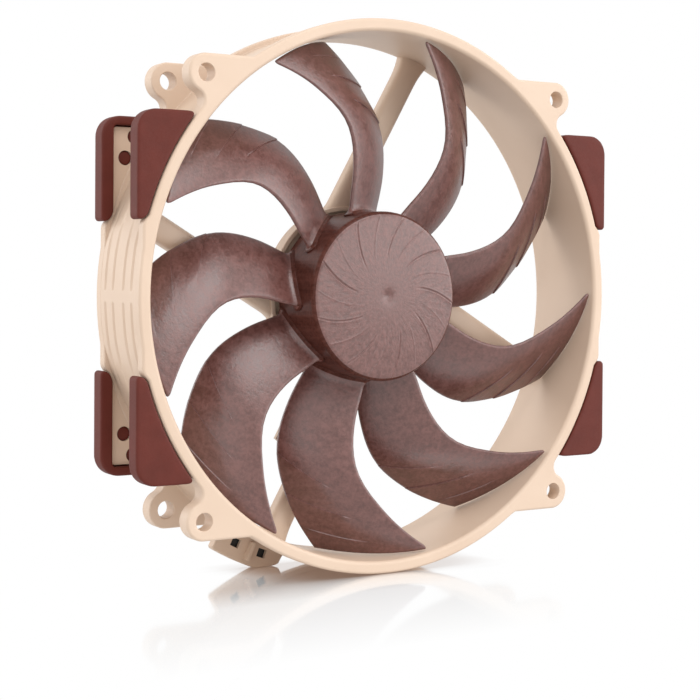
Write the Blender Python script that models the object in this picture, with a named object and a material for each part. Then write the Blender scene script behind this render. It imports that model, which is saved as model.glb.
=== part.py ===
"""A 140 mm round case fan with 120 mm fan mounting holes.

The rotation axis is Y. The intake side faces -Y, the fan stands on -Z, and the origin is
on the axis halfway through the depth. Lengths are in millimetres until a mesh is made.
"""
import math

import bmesh
import bpy
from mathutils import Vector

MM = 0.001

# Overall size
DEPTH = 25.0
HALF_DEPTH = DEPTH / 2
GAP = 0.3

# Ring of the frame
RING_R = 69.5
THROAT_R = 66.3
RIM_R = 67.4
WALL_R = 68.0
LEAD_IN = 1.2
FLANGE = 3.0
RING_STEPS = 72
BAND_R = 69.4
BAND_HALF_ANGLE = 14.3
GROOVE_AT = (-7.8, -3.3, 2.6, 7.1)
GROOVE_WIDTH = 1.3
GROOVE_DEPTH = 0.7
BAND_BRIDGE = 2.2

# Mounting lugs
HOLE_PITCH = 105.0
HOLE_AT = HOLE_PITCH / 2
HOLE_R = 2.15
LUG_R = 4.6
LUG_THICK = 4.3
LUG_START_X = 39.6
LUG_HOLLOW_R = 2.7

# Wings that carry the pads
WING_FACE = 9.7
WING_THICK = 1.2
WING_X = 66.5
WING_TOP_Z = 40.9
WING_CORNER_R = 1.0
HEEL_X = 68.5
HEEL_Z = (11.7, 17.6)
STUD_AT = ((63.2, 33.4), (60.8, 38.6))
STUD_HOLE_R = 1.8

# Pads
PAD_X = 70.0
PAD_Z = (17.9, 43.4)
PAD_CORNER_R = 5.0
PAD_SMALL_R = 0.8
PAD_LIP_FACE = 8.0
PAD_STUD_END = 9.5

# Struts and motor base
BASE_R = 23.3
BASE_FRONT = 8.6
STRUT_ANGLE = 60.0
STRUT_OFFSET = 12.6
STRUT_HALF = 3.3
STRUT_SHOULDER = 9.9
STRUT_NOSE_HALF = 2.2
STRUT_FLARE_FROM = 58.0
STRUT_FLARE_HALF = 4.3
LABEL_R = 20.4
LABEL_RECESS = 0.5
LABEL_THICK = 0.2
TUBE_R = 6.3
TUBE_BORE_R = 5.3
TUBE_FRONT = -1.0
TUBE_FLOOR = 11.2
CHANNEL_MIDDLE = 7.1
CHANNEL_HALF = 6.0
CHANNEL_END = 42.0
CHANNEL_THICK = 1.6

# Lead guide on the rear flange, lower left
GUIDE_R = 74.5
GUIDE_ANGLES = (238.2, 250.5)
GUIDE_FOOT = ((-22.0, -69.5), (-19.8, -69.1), (-18.8, -67.3))
GUIDE_POCKET_R = (68.7, 73.4)
GUIDE_POCKET_ANGLES = (239.5, 252.2)
GUIDE_POCKET_FRONT = 10.5
WINDOW_ANGLES = (242.6, 249.3)
WINDOW_R = (69.3, 71.5)
WINDOW_HALF = 1.25
GUIDE_RIB_ANGLE = 246.0
GUIDE_RIB_R = (68.6, 73.4)
GUIDE_RIB_FRONT = 7.6

# Impeller
BLADES = 9
HUB_R = 21.5
HUB_WALL = 1.1
HUB_REAR = 7.5
HUB_EDGE_FRONT = -9.7
HUB_CENTRE_FRONT = -10.8
HUB_EDGE_FILLET = 1.5
HUB_INNER_FRONT = -8.1
HUB_STEPS = 48
BOSS_R = 5.6
BOSS_REAR = -5.4
TIP_R = 65.5
BLADE_ROOT_SINK = 0.6
BLADE_THICK_ROOT = 1.7
BLADE_THICK_TIP = 1.1
BLADE_CAMBER = 0.35
BLADE_SPAN_STEPS = 9
BLADE_CHORD_STEPS = 4
# One row per station from root to tip:
# fraction of the span, leading angle, trailing angle, leading y, trailing y
BLADE_STATIONS = (
    (0.00, 106.4, 72.6, -2.1, 6.4),
    (0.25, 100.7, 74.3, -3.7, 6.2),
    (0.50, 101.9, 79.1, -5.8, 6.3),
    (0.75, 111.0, 88.7, -8.4, 6.0),
    (1.00, 121.2, 99.2, -11.2, 4.2),
)

# Rotor parts inside the hub
YOKE_R = 20.1
YOKE_WALL = 1.0
YOKE_FRONT = -7.8
YOKE_REAR = 5.8
MAGNET_R = (16.9, 18.8)
MAGNET_Y = (-5.5, 5.5)
INSERT_R = (1.8, 3.5)
INSERT_Y = (-8.1, -4.2)
SHAFT_R = 1.5
SHAFT_Y = (-8.1, 10.2)
SHAFT_GROOVE_Y = (8.5, 9.5)
SHAFT_GROOVE_R = 1.1
CLIP_R = (1.4, 2.8)
CLIP_Y = (8.8, 9.2)

# Bearing parts
SEAL_R = (1.9, 5.0)
SEAL_Y = (-3.8, -3.3)
SLEEVE_R = (1.8, 4.0)
SLEEVE_Y = (-2.6, 7.6)
SHELL_R = (4.3, 5.0)
SHELL_Y = (-3.0, 8.0)
CENTRING_MAGNET_R = (2.0, 5.0)
CENTRING_MAGNET_Y = (9.6, 10.3)
THRUST_PAD_R = 2.5
THRUST_PAD_Y = (10.5, 10.9)

# Stator
POLES = 4
CORE_BORE_R = 6.6
CORE_HUB_R = 8.7
CORE_ARM_HALF = 2.5
SHOE_R = (14.6, 16.2)
SHOE_HALF_ANGLE = 39.0
CORE_HALF = 2.5
INSULATOR_Y = (2.8, 3.9)
INSULATOR_SHOE_R = 15.8
COIL_RADIAL = (9.2, 13.6)
COIL_HALF = (4.4, 5.2)
COIL_WINDOW = (2.8, 4.2)
COIL_BEVEL = 0.9
POLE_START_ANGLE = 45.0

# Circuit board
BOARD_R = (6.7, 18.4)
BOARD_Y = (5.9, 6.9)
CHIP_AT = (12.0, -4.5)
CHIP_SIZE = (5.0, 1.1, 4.0)
HALL_AT = (0.0, 15.2)
HALL_SIZE = (3.0, 1.4, 1.6)
CAPACITOR_AT = ((-12.5, 3.0), (-11.0, -6.5))
CAPACITOR_SIZE = (2.4, 1.0, 1.5)

BEIGE = (0.80, 0.66, 0.53)
PAD_BROWN = (0.20, 0.075, 0.055)
IMPELLER_BROWN = (0.15, 0.065, 0.055)
BLACK = (0.02, 0.02, 0.02)
STEEL = (0.55, 0.55, 0.56)
BRASS = (0.75, 0.56, 0.28)
BRONZE = (0.45, 0.30, 0.18)
FERRITE = (0.06, 0.06, 0.065)
COPPER = (0.72, 0.32, 0.16)
BOARD_GREEN = (0.03, 0.16, 0.07)
LABEL_BROWN = (0.16, 0.08, 0.06)
NYLON = (0.75, 0.72, 0.62)

CORNERS = (("top_left", -1, 1), ("top_right", 1, 1),
           ("bottom_left", -1, -1), ("bottom_right", 1, -1))


def clear_scene():
    for item in list(bpy.data.objects):
        bpy.data.objects.remove(item, do_unlink=True)


def material(name, colour, roughness, metallic=0.0):
    surface = bpy.data.materials.new(name)
    surface.use_nodes = True
    shader = surface.node_tree.nodes["Principled BSDF"]
    shader.inputs["Base Color"].default_value = (*colour, 1.0)
    shader.inputs["Roughness"].default_value = roughness
    shader.inputs["Metallic"].default_value = metallic
    return surface


def finish(item, colour, roughness, metallic=0.0):
    item.data.materials.clear()
    item.data.materials.append(material(item.name + "_material", colour, roughness, metallic))
    item.data.shade_smooth()
    item.data.set_sharp_from_angle(angle=math.radians(35))
    return item


def object_from(name, points, faces):
    """A new object from points in millimetres and faces as tuples of point numbers."""
    mesh = bpy.data.meshes.new(name)
    mesh.from_pydata([Vector(point) * MM for point in points], [], faces)
    shell = bmesh.new()
    shell.from_mesh(mesh)
    bmesh.ops.recalc_face_normals(shell, faces=shell.faces)
    shell.to_mesh(mesh)
    shell.free()
    item = bpy.data.objects.new(name, mesh)
    bpy.context.collection.objects.link(item)
    return item


def prism(name, outline, front, rear):
    """An outline in x and z, extruded along the axis from front to rear."""
    count = len(outline)
    points = [(x, front, z) for x, z in outline] + [(x, rear, z) for x, z in outline]
    faces = [tuple(range(count)), tuple(range(2 * count - 1, count - 1, -1))]
    for number in range(count):
        following = (number + 1) % count
        faces.append((number, number + count, following + count, following))
    return object_from(name, points, faces)


def lathe(name, profile, steps, angles=(0.0, 360.0)):
    """A closed profile of (radius, y) points turned about the Y axis.

    Points at radius 0 become single points on the axis. A part turn gets flat ends.
    """
    whole = abs(angles[1] - angles[0]) >= 360.0
    stops = steps if whole else steps + 1
    points, rings = [], []
    for radius, y in profile:
        if radius == 0.0:
            points.append((0.0, y, 0.0))
            rings.append([len(points) - 1] * stops)
            continue
        ring = []
        for step in range(stops):
            angle = math.radians(angles[0] + (angles[1] - angles[0]) * step / steps)
            ring.append(len(points))
            points.append((radius * math.cos(angle), y, radius * math.sin(angle)))
        rings.append(ring)
    faces = []
    count = len(profile)
    for number in range(count):
        lower, upper = rings[number], rings[(number + 1) % count]
        if profile[number][0] == 0.0 and profile[(number + 1) % count][0] == 0.0:
            continue
        for step in range(steps):
            following = (step + 1) % stops
            corners = (lower[step], lower[following], upper[following], upper[step])
            faces.append(tuple(dict.fromkeys(corners)))
    if not whole:
        faces.append(tuple(ring[0] for ring in rings))
        faces.append(tuple(ring[-1] for ring in reversed(rings)))
    return object_from(name, points, faces)


def tube(name, radii, span, steps=48):
    inner, outer = radii
    front, rear = span
    profile = [(inner, front), (outer, front), (outer, rear), (inner, rear)]
    return lathe(name, profile, steps)


def disc(name, radius, span, steps=48):
    front, rear = span
    return lathe(name, [(0.0, front), (radius, front), (radius, rear), (0.0, rear)], steps)


def arc(centre, radius, start, end, steps):
    """Points on an arc in the x-z plane, from one angle in degrees to another."""
    points = []
    for step in range(steps + 1):
        angle = math.radians(start + (end - start) * step / steps)
        points.append((centre[0] + radius * math.cos(angle), centre[1] + radius * math.sin(angle)))
    return points


def combine(target, tool, operation):
    """Apply a Boolean of tool to target and delete the tool."""
    change = target.modifiers.new(operation.lower(), "BOOLEAN")
    change.operation = operation
    change.solver = "EXACT"
    change.object = tool
    graph = bpy.context.evaluated_depsgraph_get()
    mesh = bpy.data.meshes.new_from_object(target.evaluated_get(graph))
    target.modifiers.clear()
    target.data = mesh
    bpy.data.objects.remove(tool, do_unlink=True)


def mirrored(outline, side_x, side_z):
    """An outline drawn in the +x +z corner, carried to another corner."""
    return [(x * side_x, z * side_z) for x, z in outline]


def ring_angle(x, z):
    return math.degrees(math.atan2(z, x))


# ---------------------------------------------------------------- frame

def ring():
    profile = [(THROAT_R, -HALF_DEPTH + LEAD_IN), (RIM_R, -HALF_DEPTH),
               (RING_R, -HALF_DEPTH), (RING_R, -HALF_DEPTH + FLANGE),
               (WALL_R, -HALF_DEPTH + FLANGE), (WALL_R, HALF_DEPTH - FLANGE),
               (RING_R, HALF_DEPTH - FLANGE), (RING_R, HALF_DEPTH),
               (RIM_R, HALF_DEPTH), (THROAT_R, HALF_DEPTH - LEAD_IN)]
    return lathe("frame", profile, RING_STEPS)


def side_band(middle_angle):
    """The grooved stretch of wall between the two pads of one side."""
    root = WALL_R - 0.4
    reach = HALF_DEPTH - FLANGE + 0.5
    profile = [(root, -reach), (BAND_R, -reach)]
    for place in GROOVE_AT:
        near, far = place - GROOVE_WIDTH / 2, place + GROOVE_WIDTH / 2
        profile += [(BAND_R, near), (BAND_R - GROOVE_DEPTH, near),
                    (BAND_R - GROOVE_DEPTH, far), (BAND_R, far)]
    profile += [(BAND_R, reach), (root, reach)]
    angles = (middle_angle - BAND_HALF_ANGLE, middle_angle + BAND_HALF_ANGLE)
    band = lathe("side_band", profile, 8, angles)
    half = math.degrees(BAND_BRIDGE / 2 / BAND_R)
    rib = lathe("side_rib", [(root, -reach), (BAND_R, -reach), (BAND_R, reach), (root, reach)],
                1, (middle_angle - half, middle_angle + half))
    combine(band, rib, "UNION")
    return band


def lug_hollow():
    """The centre of the hollow that touches both the lug's round head and the ring."""
    head = HOLE_AT * math.sqrt(2)
    out = RING_R + LUG_HOLLOW_R
    cosine = (out ** 2 + head ** 2 - (LUG_R + LUG_HOLLOW_R) ** 2) / (2 * out * head)
    angle = math.radians(45.0) - math.acos(cosine)
    return (out * math.cos(angle), out * math.sin(angle))


def lug_outline():
    """A round head, the hollow beside it, and a straight top edge."""
    centre = (HOLE_AT, HOLE_AT)
    hollow = lug_hollow()
    towards = ring_angle(hollow[0] - HOLE_AT, hollow[1] - HOLE_AT)
    outline = arc(centre, LUG_R, 90.0, towards, 10)
    outline += arc(hollow, LUG_HOLLOW_R, towards + 180.0, ring_angle(*hollow) + 180.0, 6)[1:]
    end_angle = ring_angle(LUG_START_X, HOLE_AT + LUG_R)
    outline += arc((0.0, 0.0), WALL_R, ring_angle(*hollow), end_angle, 4)
    outline.append((LUG_START_X, HOLE_AT + LUG_R))
    return outline


def wing_outline():
    """The thin flange under a pad."""
    low = HEEL_Z[1] - 1.0
    outline = [(WING_X, low)]
    outline += arc((WING_X - WING_CORNER_R, WING_TOP_Z - WING_CORNER_R), WING_CORNER_R, 0.0,
                   90.0, 3)
    top_x = math.sqrt(WALL_R ** 2 - WING_TOP_Z ** 2)
    low_x = math.sqrt(WALL_R ** 2 - low ** 2)
    outline += arc((0.0, 0.0), WALL_R, ring_angle(top_x, WING_TOP_Z), ring_angle(low_x, low), 5)[:-1]
    outline.append((low_x - 0.6, low))
    return outline


def heel_outline():
    low, high = HEEL_Z
    inner = WALL_R - 0.6
    return [(HEEL_X, low), (HEEL_X, high), (math.sqrt(inner ** 2 - high ** 2), high),
            (math.sqrt(inner ** 2 - low ** 2), low)]


def span_on(side, near, far):
    """A stretch of y on the front (-1) or the rear (1) side, in rising order."""
    return sorted((side * near, side * far))


def strut(number):
    """One strut from the motor base to the ring, narrower towards the blades."""
    turn = math.radians(STRUT_ANGLE + 90.0 * number)
    along = (math.cos(turn), math.sin(turn))
    across = (-math.sin(turn), math.cos(turn))
    end = math.sqrt((WALL_R - 0.8) ** 2 - STRUT_OFFSET ** 2)
    stops = [8.0, STRUT_FLARE_FROM]
    stops += [STRUT_FLARE_FROM + (end - STRUT_FLARE_FROM) * step / 3 for step in (1, 2, 3)]
    points, faces = [], []
    for stop in stops:
        rise = max(0.0, (stop - STRUT_FLARE_FROM) / (end - STRUT_FLARE_FROM))
        extra = (STRUT_FLARE_HALF - STRUT_HALF) * rise ** 2
        section = [(-STRUT_HALF - extra, HALF_DEPTH), (-STRUT_HALF - extra, STRUT_SHOULDER),
                   (-STRUT_NOSE_HALF - extra, BASE_FRONT), (STRUT_NOSE_HALF + extra, BASE_FRONT),
                   (STRUT_HALF + extra, STRUT_SHOULDER), (STRUT_HALF + extra, HALF_DEPTH)]
        for side, y in section:
            shift = STRUT_OFFSET + side
            points.append((along[0] * stop + across[0] * shift, y,
                           along[1] * stop + across[1] * shift))
    corners = 6
    for station in range(len(stops) - 1):
        for corner in range(corners):
            following = (corner + 1) % corners
            low, high = station * corners, (station + 1) * corners
            faces.append((low + corner, low + following, high + following, high + corner))
    faces.append(tuple(range(corners)))
    faces.append(tuple(range(len(points) - corners, len(points))))
    return object_from("strut", points, faces)


def lead_channel():
    """The floor beside the lower strut, where the lead lies on its way out."""
    turn = math.radians(STRUT_ANGLE + 180.0)
    along = (math.cos(turn), math.sin(turn))
    across = (-math.sin(turn), math.cos(turn))
    near, far = CHANNEL_MIDDLE - CHANNEL_HALF, CHANNEL_MIDDLE + CHANNEL_HALF
    corners = ((12.0, near), (CHANNEL_END, near), (CHANNEL_END + 2.0, far), (12.0, far))
    outline = [(along[0] * out + across[0] * shift, along[1] * out + across[1] * shift)
               for out, shift in corners]
    return prism("lead_channel", outline, HALF_DEPTH - CHANNEL_THICK, HALF_DEPTH - 0.2)


def lead_guide():
    """The tab on the rear flange through which the lead leaves."""
    outline = arc((0.0, 0.0), GUIDE_R, *GUIDE_ANGLES, 6)
    outline = [(x, max(z, -RING_R)) for x, z in outline]
    outline += list(GUIDE_FOOT)
    end_angle = ring_angle(*GUIDE_FOOT[-1]) + 360.0
    outline += arc((0.0, 0.0), WALL_R, end_angle, GUIDE_ANGLES[0] - 0.6, 6)
    return prism("lead_guide", outline, HALF_DEPTH - FLANGE, HALF_DEPTH)


def guide_rib():
    """The low rib between the guide's two windows."""
    inner, outer = GUIDE_RIB_R
    half = math.degrees(0.5 / outer)
    outline = arc((0.0, 0.0), outer, GUIDE_RIB_ANGLE - half, GUIDE_RIB_ANGLE + half, 1)
    outline += arc((0.0, 0.0), inner, GUIDE_RIB_ANGLE + half, GUIDE_RIB_ANGLE - half, 1)
    return prism("guide_rib", outline, GUIDE_RIB_FRONT, HALF_DEPTH - FLANGE + 0.5)


def guide_window(angle):
    half = math.degrees(WINDOW_HALF / WINDOW_R[1])
    outline = arc((0.0, 0.0), WINDOW_R[1], angle - half, angle + half, 1)
    outline += arc((0.0, 0.0), WINDOW_R[0], angle + half, angle - half, 1)
    return prism("window", outline, HALF_DEPTH - FLANGE - 1.0, GUIDE_POCKET_FRONT + 0.5)


def guide_sector(name, inset, front, rear):
    inner, outer = GUIDE_POCKET_R
    trim = math.degrees(inset / outer)
    angles = (GUIDE_POCKET_ANGLES[0] + trim, GUIDE_POCKET_ANGLES[1] - trim)
    outline = arc((0.0, 0.0), outer - inset, *angles, 6)
    outline = [(x, max(z, -RING_R + 1.0 + inset)) for x, z in outline]
    outline += arc((0.0, 0.0), inner + inset, angles[1], angles[0], 6)
    return prism(name, outline, front, rear)


def motor_base():
    """The round plate behind the motor, with the bearing tube in front of it."""
    profile = [(0.0, TUBE_FLOOR), (TUBE_BORE_R, TUBE_FLOOR), (TUBE_BORE_R, TUBE_FRONT),
               (TUBE_R, TUBE_FRONT), (TUBE_R, BASE_FRONT + 0.6), (BASE_R - 1.3, BASE_FRONT + 0.6),
               (BASE_R - 1.3, BASE_FRONT - 0.4), (BASE_R, BASE_FRONT - 0.4), (BASE_R, HALF_DEPTH),
               (LABEL_R + GAP, HALF_DEPTH), (LABEL_R + GAP, HALF_DEPTH - LABEL_RECESS),
               (0.0, HALF_DEPTH - LABEL_RECESS)]
    return lathe("motor_base", profile, 48)


def build_frame():
    frame = ring()
    base = motor_base()
    for number in range(4):
        arm = strut(number)
        combine(arm, disc("motor_room", BASE_R - 0.7, (0.0, HALF_DEPTH + 1.0)), "DIFFERENCE")
        combine(base, arm, "UNION")
    channel = lead_channel()
    combine(channel, disc("motor_room", BASE_R - 0.7, (0.0, HALF_DEPTH + 1.0)), "DIFFERENCE")
    combine(base, channel, "UNION")
    combine(frame, base, "UNION")
    for middle in (0.0, 180.0):
        combine(frame, side_band(middle), "UNION")
    for _, side_x, side_z in CORNERS:
        for face in (-1, 1):
            lug = mirrored(lug_outline(), side_x, side_z)
            combine(frame, prism("lug", lug, *span_on(face, HALF_DEPTH - LUG_THICK, HALF_DEPTH)),
                    "UNION")
            wing = mirrored(wing_outline(), side_x, side_z)
            combine(frame, prism("wing", wing, *span_on(face, WING_FACE, WING_FACE + WING_THICK)),
                    "UNION")
            heel = mirrored(heel_outline(), side_x, side_z)
            combine(frame, prism("heel", heel, *span_on(face, HALF_DEPTH - FLANGE, HALF_DEPTH)),
                    "UNION")
    combine(frame, lead_guide(), "UNION")
    combine(frame, guide_rib(), "UNION")
    combine(frame, guide_sector("pocket", 0.0, GUIDE_POCKET_FRONT, HALF_DEPTH + 1.0), "DIFFERENCE")
    for angle in WINDOW_ANGLES:
        combine(frame, guide_window(angle), "DIFFERENCE")
    for _, side_x, side_z in CORNERS:
        centre = (HOLE_AT * side_x, HOLE_AT * side_z)
        drill = prism("drill", arc(centre, HOLE_R, 0.0, 337.5, 15), -DEPTH, DEPTH)
        combine(frame, drill, "DIFFERENCE")
        for x, z in STUD_AT:
            centre = (x * side_x, z * side_z)
            for face in (-1, 1):
                hole = prism("stud_hole", arc(centre, STUD_HOLE_R, 0.0, 330.0, 11),
                             *span_on(face, WING_FACE - 0.1, WING_FACE + WING_THICK + 0.5))
                combine(frame, hole, "DIFFERENCE")
    return finish(frame, BEIGE, 0.45)


def build_grommet():
    grommet = guide_sector("lead_grommet", GAP, GUIDE_POCKET_FRONT + GAP, HALF_DEPTH - 0.2)
    return finish(grommet, BLACK, 0.6)


# ---------------------------------------------------------------- pads

def pad_outline():
    low, high = PAD_Z
    inner = RING_R + GAP
    corner = (PAD_X - PAD_CORNER_R, high - PAD_CORNER_R)
    foot = (PAD_X - PAD_SMALL_R, low + PAD_SMALL_R)
    outline = arc(foot, PAD_SMALL_R, -90.0, 0.0, 3)
    outline += arc(corner, PAD_CORNER_R, 0.0, 90.0, 7)
    top_x = math.sqrt(inner ** 2 - high ** 2)
    low_x = math.sqrt(inner ** 2 - low ** 2)
    outline += arc((0.0, 0.0), inner, ring_angle(top_x, high), ring_angle(low_x, low), 8)
    return outline


def pad_room():
    """The room inside the pad's lip, where the wing lies, open towards the ring."""
    low = PAD_Z[0] - 1.0
    inside = HOLE_AT - LUG_R
    side, top = WING_X + GAP, WING_TOP_Z + GAP
    outline = [(inside, low), (side, low)]
    outline += arc((side - WING_CORNER_R, top - WING_CORNER_R), WING_CORNER_R, 0.0, 90.0, 3)
    outline.append((inside, top))
    return outline


def build_pad(name, face, side_x, side_z):
    """A thin sheet over a wing, a deep lip round its edge, and two studs in its holes."""
    sheet = WING_FACE + WING_THICK + GAP
    pad = prism(name, mirrored(pad_outline(), side_x, side_z),
                *span_on(face, PAD_LIP_FACE, HALF_DEPTH))
    room = mirrored(pad_room(), side_x, side_z)
    combine(pad, prism("room", room, *span_on(face, PAD_LIP_FACE - 1.0, sheet)), "DIFFERENCE")
    for x, z in STUD_AT:
        stud = arc((x * side_x, z * side_z), STUD_HOLE_R - GAP, 0.0, 330.0, 11)
        combine(pad, prism("stud", stud, *span_on(face, PAD_STUD_END, sheet + 0.4)), "UNION")
    return finish(pad, PAD_BROWN, 0.75)


# ---------------------------------------------------------------- impeller and rotor

def hub_front(radius):
    """The y of the domed hub face at a radius."""
    share = radius / (HUB_R - HUB_EDGE_FILLET)
    return HUB_CENTRE_FRONT + (HUB_EDGE_FRONT - HUB_CENTRE_FRONT) * share ** 2


def hub_profile():
    profile = [(0.0, hub_front(0.0))]
    flat_end = HUB_R - HUB_EDGE_FILLET
    profile += [(flat_end * share, hub_front(flat_end * share)) for share in (0.35, 0.7, 1.0)]
    centre_y = HUB_EDGE_FRONT + HUB_EDGE_FILLET
    for step in (1, 2, 3):
        angle = math.radians(30.0 * step)
        profile.append((flat_end + HUB_EDGE_FILLET * math.sin(angle),
                        centre_y - HUB_EDGE_FILLET * math.cos(angle)))
    inner = HUB_R - HUB_WALL
    profile += [(HUB_R, HUB_REAR), (inner, HUB_REAR), (inner, HUB_INNER_FRONT),
                (BOSS_R, HUB_INNER_FRONT), (BOSS_R, BOSS_REAR),
                (INSERT_R[1] + GAP, BOSS_REAR), (INSERT_R[1] + GAP, INSERT_Y[0] - GAP),
                (0.0, INSERT_Y[0] - GAP)]
    return profile


def station_value(share, column):
    """A smooth value between the blade stations, by Catmull-Rom interpolation."""
    last = len(BLADE_STATIONS) - 1
    place = min(max(share, 0.0), 1.0) * last
    base = min(int(place), last - 1)
    t = place - base
    values = [row[column] for row in BLADE_STATIONS]
    before = values[base - 1] if base > 0 else 2 * values[0] - values[1]
    after = values[base + 2] if base + 2 <= last else 2 * values[last] - values[last - 1]
    here, there = values[base], values[base + 1]
    rise_here, rise_there = (there - before) / 2, (after - here) / 2
    return (here * (2 * t ** 3 - 3 * t ** 2 + 1) + rise_here * (t ** 3 - 2 * t ** 2 + t)
            + there * (3 * t ** 2 - 2 * t ** 3) + rise_there * (t ** 3 - t ** 2))


def blade_point(share, chord, turn):
    """A point of the blade's middle surface; share 0 is the root, chord 0 the leading edge."""
    angle = station_value(share, 1) * (1 - chord) + station_value(share, 2) * chord + turn
    lead, trail = station_value(share, 3), station_value(share, 4)
    bow = chord - BLADE_CAMBER * chord * (1 - chord)
    radius = HUB_R + (TIP_R - HUB_R) * share
    y = lead + (trail - lead) * bow
    angle = math.radians(angle)
    return Vector((radius * math.cos(angle), y, radius * math.sin(angle)))


def blade(turn):
    """One solid blade, with its root sunk into the hub's wall."""
    points, faces = [], []
    rows, columns = BLADE_SPAN_STEPS + 1, BLADE_CHORD_STEPS + 1
    root_share = -BLADE_ROOT_SINK / (TIP_R - HUB_R)
    for row in range(rows):
        share = root_share + (1 - root_share) * row / BLADE_SPAN_STEPS
        thick = BLADE_THICK_ROOT + (BLADE_THICK_TIP - BLADE_THICK_ROOT) * max(share, 0.0)
        for column in range(columns):
            chord = column / BLADE_CHORD_STEPS
            here = blade_point(share, chord, turn)
            if share < 0.0:
                here = here * (1 - BLADE_ROOT_SINK / HUB_R) + Vector(
                    (0.0, here.y * BLADE_ROOT_SINK / HUB_R, 0.0))
            step = 0.02
            along = blade_point(max(share, 0.0) + step, chord, turn) - blade_point(
                max(share, 0.0) - step, chord, turn)
            across = blade_point(max(share, 0.0), chord + step, turn) - blade_point(
                max(share, 0.0), chord - step, turn)
            normal = along.cross(across)
            normal -= Vector((here.x, 0.0, here.z)).normalized() * normal.dot(
                Vector((here.x, 0.0, here.z)).normalized())
            normal.normalize()
            full = 0.35 + 0.65 * math.sqrt(max(0.0, 4 * chord * (1 - chord)))
            offset = normal * thick * full / 2
            points += [here + offset, here - offset]
    def corner(row, column, side):
        return 2 * (row * columns + column) + side
    for row in range(rows - 1):
        for column in range(columns - 1):
            for side in (0, 1):
                faces.append((corner(row, column, side), corner(row + 1, column, side),
                              corner(row + 1, column + 1, side), corner(row, column + 1, side)))
        for column in (0, columns - 1):
            faces.append((corner(row, column, 0), corner(row, column, 1),
                          corner(row + 1, column, 1), corner(row + 1, column, 0)))
    for row in (0, rows - 1):
        for column in range(columns - 1):
            faces.append((corner(row, column, 0), corner(row, column + 1, 0),
                          corner(row, column + 1, 1), corner(row, column, 1)))
    return object_from("blade", points, faces)


def build_impeller():
    impeller = lathe("impeller", hub_profile(), HUB_STEPS)
    for number in range(BLADES):
        combine(impeller, blade(-360.0 / BLADES * number), "UNION")
    return finish(impeller, IMPELLER_BROWN, 0.4)


def build_rotor_parts():
    wall_inner = YOKE_R - YOKE_WALL
    face_rear = YOKE_FRONT + YOKE_WALL
    hole = BOSS_R + GAP
    yoke = lathe("rotor_yoke", [(hole, YOKE_FRONT), (YOKE_R, YOKE_FRONT), (YOKE_R, YOKE_REAR),
                                (wall_inner, YOKE_REAR), (wall_inner, face_rear),
                                (hole, face_rear)], 40)
    finish(yoke, STEEL, 0.35, 0.9)
    finish(tube("rotor_magnet", MAGNET_R, MAGNET_Y, 40), FERRITE, 0.6)
    finish(tube("hub_insert", INSERT_R, INSERT_Y, 20), BRASS, 0.3, 0.9)
    front, rear = SHAFT_Y
    neck_front, neck_rear = SHAFT_GROOVE_Y
    shaft = lathe("shaft", [(0.0, front), (SHAFT_R, front), (SHAFT_R, neck_front),
                            (SHAFT_GROOVE_R, neck_front), (SHAFT_GROOVE_R, neck_rear),
                            (SHAFT_R, neck_rear), (SHAFT_R, rear - 0.4), (0.9, rear - 0.1),
                            (0.0, rear)], 24)
    finish(shaft, STEEL, 0.2, 1.0)
    finish(tube("retaining_clip", CLIP_R, CLIP_Y, 20), NYLON, 0.5)


def build_bearing():
    finish(tube("bearing_seal", SEAL_R, SEAL_Y, 20), BLACK, 0.5)
    finish(tube("bearing_sleeve", SLEEVE_R, SLEEVE_Y, 20), BRONZE, 0.5, 0.8)
    finish(tube("bearing_shell", SHELL_R, SHELL_Y, 20), BRASS, 0.3, 0.9)
    finish(tube("centring_magnet", CENTRING_MAGNET_R, CENTRING_MAGNET_Y, 20), FERRITE, 0.6)
    finish(disc("thrust_pad", THRUST_PAD_R, THRUST_PAD_Y, 20), NYLON, 0.5)


# ---------------------------------------------------------------- stator

def core_outline(shoe_outer):
    """Four arms with curved shoes on a round centre."""
    shoe_inner = SHOE_R[0]
    root = math.degrees(math.asin(CORE_ARM_HALF / CORE_HUB_R))
    neck = math.degrees(math.asin(CORE_ARM_HALF / shoe_inner))
    outline = []
    for pole in range(POLES):
        middle = POLE_START_ANGLE + 360.0 / POLES * pole
        outline += arc((0.0, 0.0), CORE_HUB_R, middle - root, middle - root, 1)[:1]
        outline += arc((0.0, 0.0), shoe_inner, middle - neck, middle - SHOE_HALF_ANGLE, 4)
        outline += arc((0.0, 0.0), shoe_outer, middle - SHOE_HALF_ANGLE,
                       middle + SHOE_HALF_ANGLE, 10)
        outline += arc((0.0, 0.0), shoe_inner, middle + SHOE_HALF_ANGLE, middle + neck, 4)
        outline += arc((0.0, 0.0), CORE_HUB_R, middle + root, middle + 90.0 - root, 4)[:-1]
    return outline


def core_plate(name, shoe_outer, front, rear):
    plate = prism(name, core_outline(shoe_outer), front, rear)
    combine(plate, disc("bore", CORE_BORE_R, (front - 1.0, rear + 1.0), 40), "DIFFERENCE")
    return plate


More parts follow.
